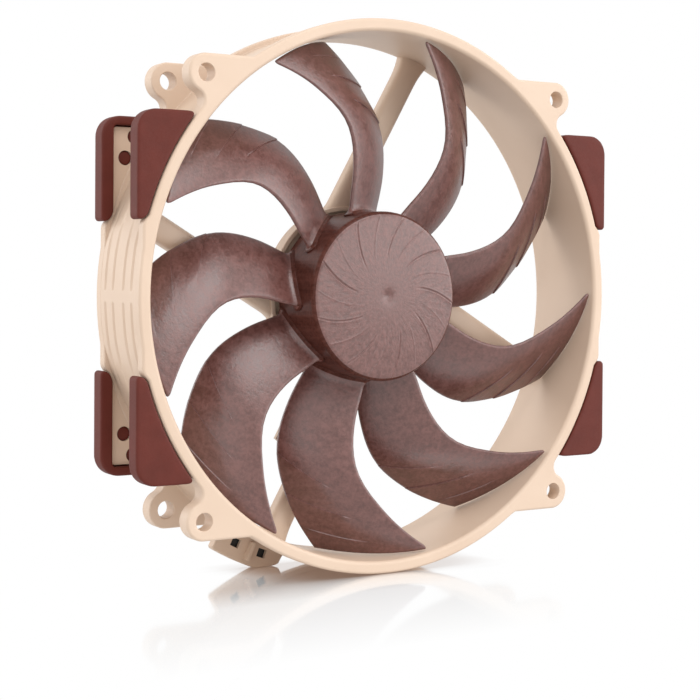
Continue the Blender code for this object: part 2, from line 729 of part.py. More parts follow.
def coil(number):
    """A flat block of windings round one arm."""
    inner, outer = COIL_RADIAL
    wide, deep = COIL_HALF
    shell = bmesh.new()
    bmesh.ops.create_cube(shell, size=1.0)
    for vertex in shell.verts:
        vertex.co = Vector(((inner + outer) / 2 + vertex.co.x * (outer - inner),
                            vertex.co.y * 2 * deep, vertex.co.z * 2 * wide)) * MM
    edges = [edge for edge in shell.edges
             if abs(edge.verts[0].co.x - edge.verts[1].co.x) > MM]
    bmesh.ops.bevel(shell, geom=edges, offset=COIL_BEVEL * MM, segments=3, profile=0.5,
                    affect="EDGES")
    mesh = bpy.data.meshes.new("coil")
    shell.to_mesh(mesh)
    shell.free()
    item = bpy.data.objects.new("coil_%d" % number, mesh)
    bpy.context.collection.objects.link(item)
    half_wide, half_deep = COIL_WINDOW
    window = object_from("window", [(x, y, z) for x in (inner - 1.0, outer + 1.0)
                                    for y in (-half_deep, half_deep)
                                    for z in (-half_wide, half_wide)],
                         [(0, 1, 3, 2), (4, 6, 7, 5), (0, 4, 5, 1), (2, 3, 7, 6),
                          (0, 2, 6, 4), (1, 5, 7, 3)])
    combine(item, window, "DIFFERENCE")
    item.rotation_euler = (0.0, -math.radians(POLE_START_ANGLE + 90.0 * (number - 1)), 0.0)
    return finish(item, COPPER, 0.35, 0.7)


def box(name, centre, size, front):
    """A small box at (x, z), its y from front to front plus its middle size."""
    wide, deep, tall = size
    x, z = centre
    outline = [(x - wide / 2, z - tall / 2), (x + wide / 2, z - tall / 2),
               (x + wide / 2, z + tall / 2), (x - wide / 2, z + tall / 2)]
    return prism(name, outline, front, front + deep)


def build_stator():
    finish(core_plate("stator_core", SHOE_R[1], -CORE_HALF, CORE_HALF), STEEL, 0.45, 0.8)
    near, far = INSULATOR_Y
    finish(core_plate("insulator_front", INSULATOR_SHOE_R, -far, -near), NYLON, 0.5)
    finish(core_plate("insulator_rear", INSULATOR_SHOE_R, near, far), NYLON, 0.5)
    for number in range(1, POLES + 1):
        coil(number)
    finish(tube("circuit_board", BOARD_R, BOARD_Y, 32), BOARD_GREEN, 0.4)
    behind = BOARD_Y[1] + GAP
    before = BOARD_Y[0] - GAP
    finish(box("driver_chip", CHIP_AT, CHIP_SIZE, behind), BLACK, 0.4)
    finish(box("hall_sensor", HALL_AT, HALL_SIZE, before - HALL_SIZE[1]), BLACK, 0.4)
    for number, place in enumerate(CAPACITOR_AT, 1):
        finish(box("capacitor_%d" % number, place, CAPACITOR_SIZE, behind), NYLON, 0.4)


def build_label():
    front = HALF_DEPTH - LABEL_THICK
    finish(disc("rear_label", LABEL_R, (front, HALF_DEPTH)), LABEL_BROWN, 0.5)


def main():
    clear_scene()
    build_frame()
    build_grommet()
    for name, side_x, side_z in CORNERS:
        build_pad("pad_front_" + name, -1, side_x, side_z)
        build_pad("pad_rear_" + name, 1, side_x, side_z)
    build_impeller()
    build_rotor_parts()
    build_bearing()
    build_stator()
    build_label()


main()
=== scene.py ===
"""Looks of the case fan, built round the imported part.

Lengths are in millimetres until a mesh is made. The rotation axis is Y, the intake side
faces -Y, and the fan stands on -Z.
"""
import math

import bmesh
import bpy
from mathutils import Matrix, Vector


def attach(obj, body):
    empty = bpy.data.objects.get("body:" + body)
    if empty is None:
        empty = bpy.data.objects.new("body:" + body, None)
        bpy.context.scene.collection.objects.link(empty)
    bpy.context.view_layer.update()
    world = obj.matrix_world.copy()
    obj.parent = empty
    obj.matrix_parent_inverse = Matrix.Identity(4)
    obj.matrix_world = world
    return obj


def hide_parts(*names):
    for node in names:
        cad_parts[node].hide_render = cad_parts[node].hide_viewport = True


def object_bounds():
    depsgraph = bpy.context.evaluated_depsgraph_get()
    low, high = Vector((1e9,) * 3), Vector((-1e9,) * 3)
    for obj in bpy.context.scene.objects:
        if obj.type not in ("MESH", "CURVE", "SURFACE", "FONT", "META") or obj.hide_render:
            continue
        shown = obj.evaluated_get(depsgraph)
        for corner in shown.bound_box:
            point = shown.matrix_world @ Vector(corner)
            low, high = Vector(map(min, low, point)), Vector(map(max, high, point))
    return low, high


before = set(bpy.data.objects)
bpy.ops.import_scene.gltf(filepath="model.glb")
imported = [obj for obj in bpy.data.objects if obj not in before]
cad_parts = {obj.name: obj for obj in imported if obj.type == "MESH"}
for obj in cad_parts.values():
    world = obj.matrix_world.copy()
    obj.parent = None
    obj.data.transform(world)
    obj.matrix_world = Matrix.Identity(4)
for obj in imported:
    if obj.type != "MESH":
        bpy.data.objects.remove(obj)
CAD_LOW, CAD_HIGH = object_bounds()

MM = 0.001
HALF = 12.5
CORNERS = (("top_left", -1, 1), ("top_right", 1, 1),
           ("bottom_left", -1, -1), ("bottom_right", 1, -1))

# Ring
RING_R = 69.5
THROAT_R = 66.3
WALL_R = 68.0
FLANGE = 3.0
RING_STEP = 2.0
EDGE = 0.7
INNER_EDGE = 0.4
LEAD_IN = (1.0, 1.1)

# Lugs and heels
HOLE_AT = 52.5
HOLE_R = 2.15
LUG_R = 4.6
LUG_THICK = 4.3
LUG_START_X = 39.6
LUG_HOLLOW_R = 2.7
LUG_RAMP = 1.5
HEEL_X = 68.5
HEEL_Z = (11.7, 17.6)

# Lead guide on the rear flange
GUIDE_R = 74.5
GUIDE_START = 238.2
GUIDE_POCKET_R = (68.7, 73.4)
GUIDE_POCKET_ANGLES = (239.5, 252.2)
GUIDE_POCKET_FRONT = 10.5
GUIDE_FLOOR = 1.0
WINDOW_ANGLES = (242.6, 249.3)
WINDOW_R = (69.3, 71.5)
WINDOW_HALF = 1.25
GUIDE_RIB_ANGLE = 246.0
GUIDE_RIB_R = (68.6, 73.4)
GUIDE_RIB_FRONT = 7.6

# Grooved bands
BAND_R = 69.4
BAND_HALF_ANGLE = 27.0
BAND_TAPER_ANGLE = 9.0
BAND_ROOT_R = 67.2
GROOVE_AT = (-7.8, -3.3, 2.6, 7.1)
GROOVE_HALF = 0.85
GROOVE_DEPTH = 0.5
BRIDGE_HALF_ANGLE = 0.9

# Wings and studs
WING_FACE = 9.7
WING_THICK = 1.2
WING_X = 66.5
WING_TOP_Z = 40.9
WING_CORNER_R = 1.0
STUD_AT = ((63.2, 33.4), (60.8, 38.6))
STUD_HOLE_R = 1.8
STUD_R = 1.82

# Pads
PAD_X = 70.0
PAD_Z = (17.9, 43.4)
PAD_CORNER_R = 5.0
PAD_HEEL_R = 0.95
PAD_LIP_FACE = 8.0
PAD_STUD_END = 9.95
PAD_EDGE = 0.3
PAD_VOXEL = 0.3
PAD_SMOOTHING = 8

# Motor base and struts
BASE_R = 23.3
BASE_FRONT = 8.6
STRUT_ANGLE = 60.0
STRUT_OFFSET = 12.6
STRUT_HALF = 3.3
STRUT_FLARE_FROM = 58.0
STRUT_FLARE = 1.2
CHANNEL_MIDDLE = 7.1
CHANNEL_HALF = 6.0
CHANNEL_END = 42.0
CHANNEL_ROOT_R = 21.8

# Impeller
BLADES = 9
HUB_R = 21.5
HUB_WALL = 1.1
HUB_REAR = 7.5
HUB_EDGE_FRONT = -9.7
HUB_CENTRE_FRONT = -10.8
HUB_FILLET = 1.5
# How near the hub's side radius, and how far behind its front edge, faces get the painted shade.
PAINTED_SHADE_REACH = 0.65
PAINTED_SHADE_START = 0.2
TIP_R = 65.8
BLADE_CAMBER = 0.35
BLADE_THICK = (1.7, 1.1)
TIP_CORNER_R = 1.5
STEP_RUN = 4.5
# Span fraction, angles of the leading and trailing edge, and y of the leading and trailing edge
BLADE_STATIONS = (
    (0.00, 106.4, 72.6, -2.1, 6.4),
    (0.25, 100.7, 74.3, -3.7, 6.2),
    (0.50, 101.9, 79.1, -5.8, 6.3),
    (0.75, 111.0, 88.7, -8.4, 6.0),
    (1.00, 121.2, 99.2, -11.2, 4.2),
)
# Fine steps on a blade: span and chord fraction where each starts and ends, and its height
BLADE_STEPS = ((0.55, 0.98, 0.65, 0.42, 0.34), (0.74, 0.98, 0.80, 0.38, 0.34),
              (0.90, 0.90, 0.93, 0.44, 0.24))
DIMPLE_R = 1.5
DIMPLE_DEPTH = 0.45
HUB_LINES = 18
HUB_LINE_ANGLE = 34.0
HUB_LINE_SWEEP = 1.6
HUB_LINE_R = (8.2, 21.0)
OFF_THE_LINES = 9.0


# ---------------------------------------------------------------- mesh helpers

def object_from(name, points, faces):
    mesh = bpy.data.meshes.new(name)
    mesh.from_pydata([Vector(point) * MM for point in points], [], faces)
    item = bpy.data.objects.new(name, mesh)
    bpy.context.scene.collection.objects.link(item)
    outward(item)
    return item


def outward(item):
    shell = bmesh.new()
    shell.from_mesh(item.data)
    bmesh.ops.recalc_face_normals(shell, faces=shell.faces)
    shell.to_mesh(item.data)
    shell.free()


def loft(name, loops, closed=False):
    """Skin between loops of equal length. Unless closed, the first and last loops get caps."""
    size = len(loops[0])
    points = [point for loop in loops for point in loop]
    faces = []
    pairs = len(loops) if closed else len(loops) - 1
    for number in range(pairs):
        low = number * size
        high = (number + 1) % len(loops) * size
        for step in range(size):
            after = (step + 1) % size
            faces.append((low + step, low + after, high + after, high + step))
    if not closed:
        faces.append(tuple(range(size)))
        faces.append(tuple(range(len(points) - size, len(points))))
    return object_from(name, points, faces)


def lathe(name, profile, steps):
    """A closed profile of (radius, y) turned about Y, with points at radius 0 kept single."""
    points, rings, faces = [], [], []
    for radius, y in profile:
        if radius == 0.0:
            points.append((0.0, y, 0.0))
            rings.append([len(points) - 1] * steps)
            continue
        rings.append(list(range(len(points), len(points) + steps)))
        for step in range(steps):
            angle = 2 * math.pi * step / steps
            points.append((radius * math.cos(angle), y, radius * math.sin(angle)))
    for number, lower in enumerate(rings):
        upper = rings[(number + 1) % len(rings)]
        if profile[number][0] == 0.0 and profile[(number + 1) % len(profile)][0] == 0.0:
            continue
        for step in range(steps):
            after = (step + 1) % steps
            corners = (lower[step], lower[after], upper[after], upper[step])
            faces.append(tuple(dict.fromkeys(corners)))
    return object_from(name, points, faces)


def outline_normals(outline):
    """Outward unit normals of an anticlockwise outline in x and z."""
    count = len(outline)
    normals = []
    for number in range(count):
        before, after = outline[number - 1], outline[(number + 1) % count]
        run = (after[0] - before[0], after[1] - before[1])
        length = math.hypot(*run)
        normals.append((run[1] / length, -run[0] / length))
    return normals


def anticlockwise(outline):
    area = 0.0
    for number, (x, z) in enumerate(outline):
        after = outline[(number + 1) % len(outline)]
        area += x * after[1] - after[0] * z
    return outline if area > 0 else outline[::-1]


def inset(outline, normals, depth):
    return [(x - nx * depth, z - nz * depth) for (x, z), (nx, nz) in zip(outline, normals)]


def slab(name, outline, front, rear, edge, steps=3):
    """An outline extruded along Y, with its long edges rounded."""
    outline = anticlockwise(outline)
    normals = outline_normals(outline)
    loops = []
    for step in range(steps + 1):
        angle = math.pi / 2 * step / steps
        ring = inset(outline, normals, edge * (1 - math.sin(angle)))
        loops.append([(x, front + edge * (1 - math.cos(angle)), z) for x, z in ring])
    for step in range(steps, -1, -1):
        angle = math.pi / 2 * step / steps
        ring = inset(outline, normals, edge * (1 - math.sin(angle)))
        loops.append([(x, rear - edge * (1 - math.cos(angle)), z) for x, z in ring])
    return loft(name, loops)


def arc(centre, radius, start, end, steps):
    points = []
    for step in range(steps + 1):
        angle = math.radians(start + (end - start) * step / steps)
        points.append((centre[0] + radius * math.cos(angle), centre[1] + radius * math.sin(angle)))
    return points


def bend(start, control, end, steps):
    """Points on a quadratic curve, without its first point."""
    points = []
    for step in range(1, steps + 1):
        t = step / steps
        weights = ((1 - t) ** 2, 2 * t * (1 - t), t * t)
        points.append(tuple(sum(weight * place[axis] for weight, place
                                in zip(weights, (start, control, end))) for axis in (0, 1)))
    return points


def polar(angle, radius):
    return (radius * math.cos(math.radians(angle)), radius * math.sin(math.radians(angle)))


def angle_of(x, z):
    return math.degrees(math.atan2(z, x))


def smooth(value):
    value = min(max(value, 0.0), 1.0)
    return value * value * (3 - 2 * value)


def mirrored(outline, side_x, side_z):
    return [(x * side_x, z * side_z) for x, z in outline]


def combine(target, tool, operation):
    change = target.modifiers.new(operation.lower(), "BOOLEAN")
    change.operation = operation
    change.solver = "EXACT"
    change.object = tool
    bake_modifiers(target)
    bpy.data.objects.remove(tool, do_unlink=True)


def bake_modifiers(item):
    graph = bpy.context.evaluated_depsgraph_get()
    mesh = bpy.data.meshes.new_from_object(item.evaluated_get(graph))
    item.modifiers.clear()
    item.data = mesh


def joined(name, items):
    """One object that holds the meshes of several."""
    shell = bmesh.new()
    for item in items:
        shell.from_mesh(item.data)
        bpy.data.objects.remove(item, do_unlink=True)
    mesh = bpy.data.meshes.new(name)
    shell.to_mesh(mesh)
    shell.free()
    whole = bpy.data.objects.new(name, mesh)
    bpy.context.scene.collection.objects.link(whole)
    return whole


def flipped_copy(item, name, sides):
    copy = bpy.data.objects.new(name, item.data.copy())
    bpy.context.scene.collection.objects.link(copy)
    copy.data.transform(Matrix.Diagonal((*sides, 1.0)))
    outward(copy)
    return copy


def shade(item, surface, sharp=38.0):
    item.data.materials.clear()
    item.data.materials.append(surface)
    item.data.shade_smooth()
    item.data.set_sharp_from_angle(angle=math.radians(sharp))
    level = item.modifiers.new("level", "WEIGHTED_NORMAL")
    level.keep_sharp = True
    return item


# ---------------------------------------------------------------- materials

def node(tree, kind, inputs=None, **settings):
    made = tree.nodes.new(kind)
    for key, value in settings.items():
        setattr(made, key, value)
    for key, value in (inputs or {}).items():
        if isinstance(value, bpy.types.NodeSocket):
            tree.links.new(value, made.inputs[key])
        else:
            made.inputs[key].default_value = value
    return made


def blank(name, roughness=0.5, metallic=0.0):
    surface = bpy.data.materials.new(name)
    surface.use_nodes = True
    shader = surface.node_tree.nodes["Principled BSDF"]
    shader.inputs["Roughness"].default_value = roughness
    shader.inputs["Metallic"].default_value = metallic
    return surface, surface.node_tree, shader


def place(tree, scale=(1.0, 1.0, 1.0)):
    """Object coordinates in millimetres, stretched by scale."""
    spot = node(tree, "ShaderNodeTexCoord")
    stretch = node(tree, "ShaderNodeMapping", {"Vector": spot.outputs["Object"]})
    stretch.inputs["Scale"].default_value = [value / MM for value in scale]
    return stretch.outputs["Vector"]


def noise(tree, vector, scale, detail=3.0, roughness=0.55):
    made = node(tree, "ShaderNodeTexNoise", {"Vector": vector, "Scale": scale, "Detail": detail,
                                             "Roughness": roughness})
    return made.outputs["Fac"]


def spread(tree, value, low, high, near=0.3, far=0.7):
    """A value from near to far carried to low to high."""
    made = node(tree, "ShaderNodeMapRange", {"Value": value, "From Min": near, "From Max": far,
                                             "To Min": low, "To Max": high})
    return made.outputs["Result"]


def blended(tree, share, first, second):
    made = node(tree, "ShaderNodeMix", data_type="RGBA")
    tree.links.new(share, made.inputs["Factor"])
    for socket in made.inputs:
        if socket.type == "RGBA" and socket.name == "A":
            socket.default_value = (*first, 1.0)
        if socket.type == "RGBA" and socket.name == "B":
            socket.default_value = (*second, 1.0)
    return next(socket for socket in made.outputs if socket.type == "RGBA")


def colour(tree, shader, share, first, second):
    tree.links.new(blended(tree, share, first, second), shader.inputs["Base Color"])


def bump(tree, shader, heights):
    """Bumps in millimetres, chained onto the shader's normal."""
    before = None
    for height, distance in heights:
        made = node(tree, "ShaderNodeBump", {"Height": height, "Distance": distance * MM,
                                             "Strength": 1.0})
        if before is not None:
            tree.links.new(before.outputs["Normal"], made.inputs["Normal"])
        before = made
    tree.links.new(before.outputs["Normal"], shader.inputs["Normal"])


def frame_plastic():
    surface, tree, shader = blank("frame_plastic")
    spot = place(tree)
    wide = noise(tree, spot, 0.06, 2.0)
    fine = noise(tree, spot, 3.2, 4.0)
    colour(tree, shader, spread(tree, wide, 0.0, 1.0), (0.588, 0.440, 0.330), (0.618, 0.470, 0.358))
    tree.links.new(spread(tree, fine, 0.40, 0.52), shader.inputs["Roughness"])
    bump(tree, shader, ((fine, 0.012), (wide, 0.15)))
    return surface


def pad_silicone():
    surface, tree, shader = blank("pad_silicone")
    cloud = noise(tree, place(tree), 0.22, 3.0)
    grain = noise(tree, place(tree), 3.0, 4.0)
    colour(tree, shader, spread(tree, cloud, 0.0, 1.0), (0.090, 0.0135, 0.0075),
           (0.107, 0.017, 0.010))
    tree.links.new(spread(tree, grain, 0.54, 0.70), shader.inputs["Roughness"])
    shader.inputs["Specular IOR Level"].default_value = 0.28
    bump(tree, shader, ((grain, 0.02), (cloud, 0.08)))
    return surface


def impeller_plastic(name, gloss, dark, light):
    """Glass-filled plastic with flow marks that run outwards from the hub."""
    surface, tree, shader = blank(name)
    spot = place(tree)
    parts = node(tree, "ShaderNodeSeparateXYZ", {"Vector": spot})
    flat = node(tree, "ShaderNodeCombineXYZ", {"X": parts.outputs["X"], "Z": parts.outputs["Z"]})
    radius = node(tree, "ShaderNodeVectorMath", {0: flat.outputs["Vector"]}, operation="LENGTH")
    around = node(tree, "ShaderNodeVectorMath", {0: flat.outputs["Vector"]},
                  operation="NORMALIZE")
    wide = node(tree, "ShaderNodeVectorMath", {0: around.outputs["Vector"], "Scale": 15.0},
                operation="SCALE")
    around_parts = node(tree, "ShaderNodeSeparateXYZ", {"Vector": wide.outputs["Vector"]})
    out = node(tree, "ShaderNodeMath", {0: radius.outputs["Value"], 1: 0.45},
               operation="MULTIPLY")
    flow = node(tree, "ShaderNodeCombineXYZ", {"X": around_parts.outputs["X"],
                                               "Y": out.outputs["Value"],
                                               "Z": around_parts.outputs["Z"]})
    marks = noise(tree, flow.outputs["Vector"], 1.1, 5.0, 0.62)
    strength = spread(tree, radius.outputs["Value"], 0.0, 1.0, 3.0, 10.0)
    centred = node(tree, "ShaderNodeMath", {0: marks, 1: 0.5}, operation="SUBTRACT")
    faded = node(tree, "ShaderNodeMath", {0: centred.outputs["Value"], 1: strength},
                 operation="MULTIPLY")
    streak = node(tree, "ShaderNodeMath", {0: faded.outputs["Value"], 1: 0.5},
                  operation="ADD").outputs["Value"]
    grain = noise(tree, spot, 1.2, 4.0, 0.6)
    both = node(tree, "ShaderNodeMath", {0: streak, 1: grain}, operation="ADD")
    share = spread(tree, both.outputs["Value"], 0.0, 1.0, 0.80, 1.20)
    colour(tree, shader, share, dark, light)
    tree.links.new(spread(tree, both.outputs["Value"], 0.30, 0.40, 0.78, 1.22),
                   shader.inputs["Roughness"])
    shader.inputs["Specular IOR Level"].default_value = gloss
    bump(tree, shader, ((grain, 0.05), (streak, 0.09)))
    return surface


def metal(name, dark, light, rough, stretch=(1.0, 1.0, 1.0)):
    surface, tree, shader = blank(name, metallic=1.0)
    fine = noise(tree, place(tree, stretch), 2.5, 4.0)
    colour(tree, shader, spread(tree, fine, 0.0, 1.0), dark, light)
    tree.links.new(spread(tree, fine, rough[0], rough[1]), shader.inputs["Roughness"])
    bump(tree, shader, ((fine, 0.01),))
    return surface


def plain(name, dark, light, rough, grain=3.0):
    surface, tree, shader = blank(name)
    fine = noise(tree, place(tree), grain, 4.0)
    colour(tree, shader, spread(tree, fine, 0.0, 1.0), dark, light)
    tree.links.new(spread(tree, fine, rough[0], rough[1]), shader.inputs["Roughness"])
    bump(tree, shader, ((fine, 0.015),))
    return surface


# ---------------------------------------------------------------- frame

def lug_hollow():
    """The centre of the hollow that touches both the lug's round head and the ring."""
    head = HOLE_AT * math.sqrt(2)
    out = RING_R + LUG_HOLLOW_R
    cosine = (out ** 2 + head ** 2 - (LUG_R + LUG_HOLLOW_R) ** 2) / (2 * out * head)
    return polar(45.0 - math.degrees(math.acos(cosine)), out)


def ring_run(start, end):
    """Stations on the ring's edge: its angle, the point and the flange's thickness there."""
    steps = max(2, round((end - start) / RING_STEP))
    angles = [start + (end - start) * step / steps for step in range(steps + 1)]
    return [(angle, polar(angle, RING_R), FLANGE) for angle in angles]


def quarter_stations():
    """Stations of the flange's edge from +X to +Z in one corner, with its heel and lug."""
    hollow = lug_hollow()
    towards = angle_of(hollow[0] - HOLE_AT, hollow[1] - HOLE_AT)
    lug_low = angle_of(*hollow)
    lug_high = angle_of(LUG_START_X, HOLE_AT + LUG_R)
    low, high = HEEL_Z
    stations = ring_run(0.0, math.degrees(math.asin(low / RING_R)))
    heel = [(HEEL_X, low + 2.0), (HEEL_X, low + 4.0), (HEEL_X, high - 1.2),
            (HEEL_X - 0.15, high - 0.5), (HEEL_X - 0.6, high + 0.3)]
    stations += [(angle_of(x, z), (x, z), FLANGE) for x, z in heel]
    stations += ring_run(math.degrees(math.asin((high + 1.4) / RING_R)), lug_low - LUG_RAMP)
    edge = arc(hollow, LUG_HOLLOW_R, lug_low + 180.0, towards + 180.0, 9)
    edge += arc((HOLE_AT, HOLE_AT), LUG_R, towards, 90.0, 22)[1:]
    edge += [(HOLE_AT + (LUG_START_X + 0.3 - HOLE_AT) * step / 6, HOLE_AT + LUG_R)
             for step in range(1, 7)]
    for step, point in enumerate(edge):
        angle = lug_low + (lug_high - lug_low) * step / (len(edge) - 1)
        stations.append((angle, point, LUG_THICK))
    stations += ring_run(lug_high + LUG_RAMP, 90.0)
    return stations


def full_stations():
    quarter = quarter_stations()
    stations = quarter[:-1]
    stations += [(180.0 - angle, (-x, z), thick) for angle, (x, z), thick in quarter[::-1]][:-1]
    stations += [(180.0 + angle, (-x, -z), thick) for angle, (x, z), thick in quarter][:-1]
    stations += [(360.0 - angle, (x, -z), thick) for angle, (x, z), thick in quarter[::-1]][:-1]
    return stations


def guide_outline():
    """Samples (angle, radius) of the lead guide's edge, seen from the front."""
    samples = [(GUIDE_START - 0.2, RING_R), (GUIDE_START - 0.1, RING_R + 0.1),
               (GUIDE_START, RING_R + 2.5), (GUIDE_START + 0.1, GUIDE_R - 0.4),
               (GUIDE_START + 0.5, GUIDE_R)]
    angle = GUIDE_START + 1.5
    while angle < 252.5:
        floor_r = RING_R / abs(math.sin(math.radians(angle)))
        samples.append((angle, min(GUIDE_R, floor_r)))
        angle += 1.0
    samples += [(253.4, 72.3), (254.0, 71.7), (254.3, 70.3), (254.5, RING_R + 0.1),
                (254.8, RING_R)]
    return samples


def flange_loop(point, normal, angle, thick, face):
    """Half of one section, from the middle of the throat to the middle of the wall."""
    def at(radius, y):
        x, z = polar(angle, radius)
        return (x, face * y, z)

    def outer(depth, y):
        return (point[0] - normal[0] * depth, face * y, point[1] - normal[1] * depth)
    wide, deep = LEAD_IN
    inner_y = HALF - thick
    loop = [at(THROAT_R, 3.0)]
    for step in range(6):
        turn = math.radians(18.0 * step)
        loop.append(at(THROAT_R + wide * (1 - math.cos(turn)), HALF - deep * (1 - math.sin(turn))))
    for step in range(6):
        turn = math.radians(18.0 * step)
        loop.append(outer(EDGE * (1 - math.sin(turn)), HALF - EDGE * (1 - math.cos(turn))))
    for step in range(4):
        turn = math.radians(30.0 * step)
        loop.append(outer(INNER_EDGE * (1 - math.cos(turn)),
                          inner_y + INNER_EDGE * (1 - math.sin(turn))))
    loop += [at(WALL_R + 0.4, inner_y), at(WALL_R + 0.12, inner_y - 0.12),
             at(WALL_R, inner_y - 0.4), at(WALL_R, 3.0)]
    return loop


def ring_body():
    """Ring, flanges and lugs as one skin that runs round the axis."""
    pairs = [(angle, point, point, thick) for angle, point, thick in full_stations()
             if not GUIDE_START - 0.3 < angle < 255.0]
    pairs += [(angle, polar(angle, RING_R), polar(angle, radius), FLANGE)
              for angle, radius in guide_outline()]
    pairs.sort()
    front = outline_normals([pair[1] for pair in pairs])
    rear = outline_normals([pair[2] for pair in pairs])
    loops = []
    for number, (angle, point, behind, thick) in enumerate(pairs):
        loop = flange_loop(point, front[number], angle, thick, -1)
        loop += reversed(flange_loop(behind, rear[number], angle, thick, 1))
        loops.append(loop)
    return loft("ring_body", loops, closed=True)


def drill(x, z):
    """The shape of a lug hole through both flanges, with slightly eased edges."""
    inner = HALF - LUG_THICK
    profile = [(0.0, HALF + 1.0), (HOLE_R + 0.5, HALF + 1.0), (HOLE_R + 0.16, HALF),
               (HOLE_R + 0.05, HALF - 0.08), (HOLE_R, HALF - 0.25), (HOLE_R, inner + 0.3),
               (HOLE_R + 0.08, inner + 0.1), (HOLE_R + 0.2, inner), (HOLE_R + 0.6, inner - 0.6)]
    profile += [(radius, -y) for radius, y in reversed(profile)]
    tool = lathe("drill", profile, 32)
    tool.data.transform(Matrix.Translation((x * MM, 0.0, z * MM)))
    return tool


def guide_pocket():
    """The shape of the pocket in the back of the lead guide."""
    inner, outer = GUIDE_POCKET_R
    start, end = GUIDE_POCKET_ANGLES
    outline = arc((0.0, 0.0), outer, start, end, 12)
    outline = [(x, max(z, -RING_R + GUIDE_FLOOR)) for x, z in outline]
    outline += arc((0.0, 0.0), inner, end, start, 12)
    return slab("pocket", outline, GUIDE_POCKET_FRONT, HALF + 1.0, 0.1, 1)


def polar_block(name, radii, angle, half, front, rear):
    """A small block with sides along the ring's radius, half wide on each side."""
    inner, outer = radii
    turn = math.degrees(half / outer)
    outline = [polar(angle - turn, inner), polar(angle - turn, outer),
               polar(angle + turn, outer), polar(angle + turn, inner)]
    return slab(name, outline, front, rear, 0.12, 2)


def band_rise(stop):
    """How far the band stands above the wall, as a share of its full height."""
    return smooth((BAND_HALF_ANGLE - abs(stop)) / (BAND_HALF_ANGLE - BAND_TAPER_ANGLE))


def band(middle_angle):
    """The wall between the pads of one side, with four grooves and a bridge across them."""
    reach = HALF - FLANGE + 0.3
    stops = []
    near = BRIDGE_HALF_ANGLE + 0.5
    for side in (-1, 1):
        stops += [side * (near + (BAND_HALF_ANGLE - near) * step / 16) for step in range(17)]
        stops += [side * (BRIDGE_HALF_ANGLE + 0.25), side * BRIDGE_HALF_ANGLE]
    loops = []
    for stop in sorted(stops):
        rise = band_rise(stop)
        top = WALL_R - 0.1 + (BAND_R - WALL_R + 0.1) * rise
        depth = GROOVE_DEPTH * rise ** 2 * smooth((abs(stop) - BRIDGE_HALF_ANGLE) / 0.8)
        profile = [(BAND_ROOT_R, -reach), (top, -reach)]
        for middle in GROOVE_AT:
            for step in range(9):
                share = step / 4 - 1
                dip = depth * (1 - share ** 2) ** 1.5
                profile.append((top - dip, middle + GROOVE_HALF * share))
        profile += [(top, reach), (BAND_ROOT_R, reach)]
        loop = []
        for radius, y in profile:
            x, z = polar(middle_angle + stop, radius)
            loop.append((x, y, z))
        loops.append(loop)
    return loft("band", loops)


def wings():
    """Eight thin flanges under the pads, with the holes for the studs."""
    low = HEEL_Z[1] - 1.0
    root = WALL_R - 0.6
    corner = (WING_X - WING_CORNER_R, WING_TOP_Z - WING_CORNER_R)
    outline = [(WING_X, low)] + arc(corner, WING_CORNER_R, 0.0, 90.0, 6)
    top_x = math.sqrt(root ** 2 - WING_TOP_Z ** 2)
    low_x = math.sqrt(root ** 2 - low ** 2)
    outline += arc((0.0, 0.0), root, angle_of(top_x, WING_TOP_Z), angle_of(low_x, low), 8)
    plates, holes = [], []
    for _, side_x, side_z in CORNERS:
        shape = mirrored(outline, side_x, side_z)
        plates.append(slab("wing", shape, WING_FACE, WING_FACE + WING_THICK, 0.2))
        plates.append(slab("wing", shape, -WING_FACE - WING_THICK, -WING_FACE, 0.2))
        for x, z in STUD_AT:
            ring = arc((x * side_x, z * side_z), STUD_HOLE_R, 0.0, 345.0, 23)
            holes.append(slab("hole", ring, -HALF, HALF, 0.05, 1))
    plate = joined("wings", plates)
    combine(plate, joined("holes", holes), "DIFFERENCE")
    return plate


def strut(number):
    """A slanted arm with a round nose and a small fillet where it meets the ring."""
    turn = math.radians(STRUT_ANGLE + 90.0 * number)
    along = (math.cos(turn), math.sin(turn))
    across = (-math.sin(turn), math.cos(turn))
    shape = [(0.0, BASE_FRONT), (0.35, BASE_FRONT + 0.04), (0.58, BASE_FRONT + 0.17),
             (0.76, BASE_FRONT + 0.42), (0.90, BASE_FRONT + 0.85), (0.98, BASE_FRONT + 1.4),
             (1.0, BASE_FRONT + 2.0), (1.0, HALF - 0.35), (0.96, HALF - 0.1), (0.86, HALF)]
    section = [(-share, y) for share, y in reversed(shape)] + shape[1:]
    loops = []
    for stop in range(33):
        share = stop / 32
        loop = []
        for side, y in section:
            width = side * STRUT_HALF
            start = math.sqrt((BASE_R - 1.3) ** 2 - (STRUT_OFFSET + width) ** 2)
            end = math.sqrt((WALL_R - 0.8) ** 2 - (STRUT_OFFSET + width) ** 2)
            out = start + (end - start) * share
            rise = max(0.0, (out - STRUT_FLARE_FROM) / (end - STRUT_FLARE_FROM))
            width += side * STRUT_FLARE * rise ** 2.4
            root = max(0.0, 1.0 - (out - start) / 4.0)
            width += side * 0.9 * root ** 2
            shift = STRUT_OFFSET + width
            loop.append((along[0] * out + across[0] * shift, y,
                         along[1] * out + across[1] * shift))
        loops.append(loop)
    return loft("strut", loops)


